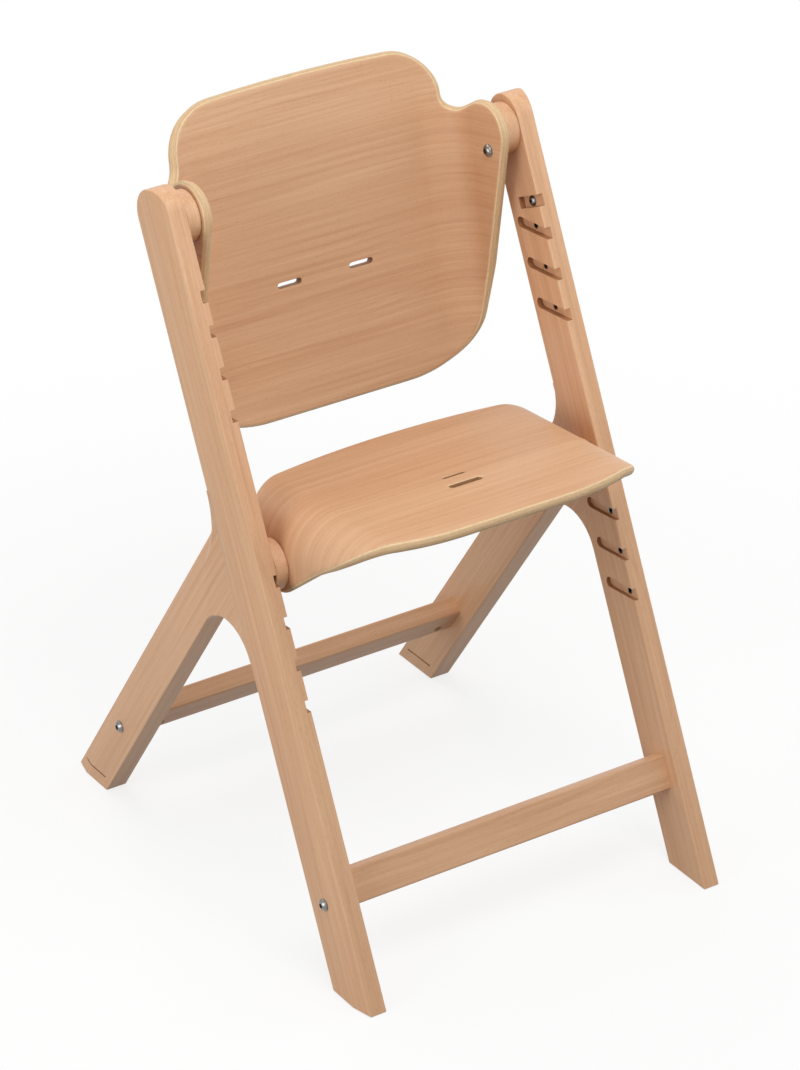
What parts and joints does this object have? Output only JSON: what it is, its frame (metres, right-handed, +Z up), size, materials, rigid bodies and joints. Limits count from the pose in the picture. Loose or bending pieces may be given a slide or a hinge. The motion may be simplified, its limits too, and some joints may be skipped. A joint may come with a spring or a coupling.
{
  "type": "high chair",
  "caption": "Wooden children's high chair: leaning side frames with slots, crossbars, a tilting moulded plywood backrest and a moulded seat that hangs in the slots.",
  "frame": {"origin": "on the floor, in the middle of the footprint of the feet", "axes": "+Z up; the chair faces -Y; +X is to the left of someone who sits in it, and left and right in names are as seen from the front"},
  "size_m": [0.4688, 0.596, 0.831],
  "materials": {
    "beech": "satin lacquer",
    "plywood": "satin lacquer",
    "steel": "satin"
  },
  "bodies": {
    "frame": {"front_rail_left": "beech", "front_rail_right": "beech", "rear_leg_left": "beech", "rear_leg_right": "beech", "joint_dowels": "beech", "front_crossbar": "beech", "rear_crossbar": "beech", "crossbar_bolts": "steel", "crossbar_nuts": "steel", "crossbar_dowels": "beech", "upper_slot_inserts": "steel", "lower_slot_inserts": "steel", "top_slot_screws": "steel", "back_spacer_left": "beech", "back_spacer_right": "beech", "pivot_inserts": "steel", "pivot_bolts": "steel"},
    "back": {"backrest": "plywood"},
    "seat": {"seat": "plywood", "seat_spacer_left": "beech", "seat_spacer_right": "beech", "slot_key_left": "beech", "slot_key_right": "beech", "seat_bolts": "steel"}
  },
  "joints": [
    {"name": "back_tilt", "type": "hinge", "parent": "frame", "child": "back", "pos_m": [0, 0.08333, 0.73327], "axis": [-1, 0, 0], "range_deg": [-8, 12]},
    {"name": "seat_slide", "type": "slide", "parent": "frame", "child": "seat", "axis": [0, -0.9954, 0.0958], "range_m": [0, 0.049]}
  ]
}
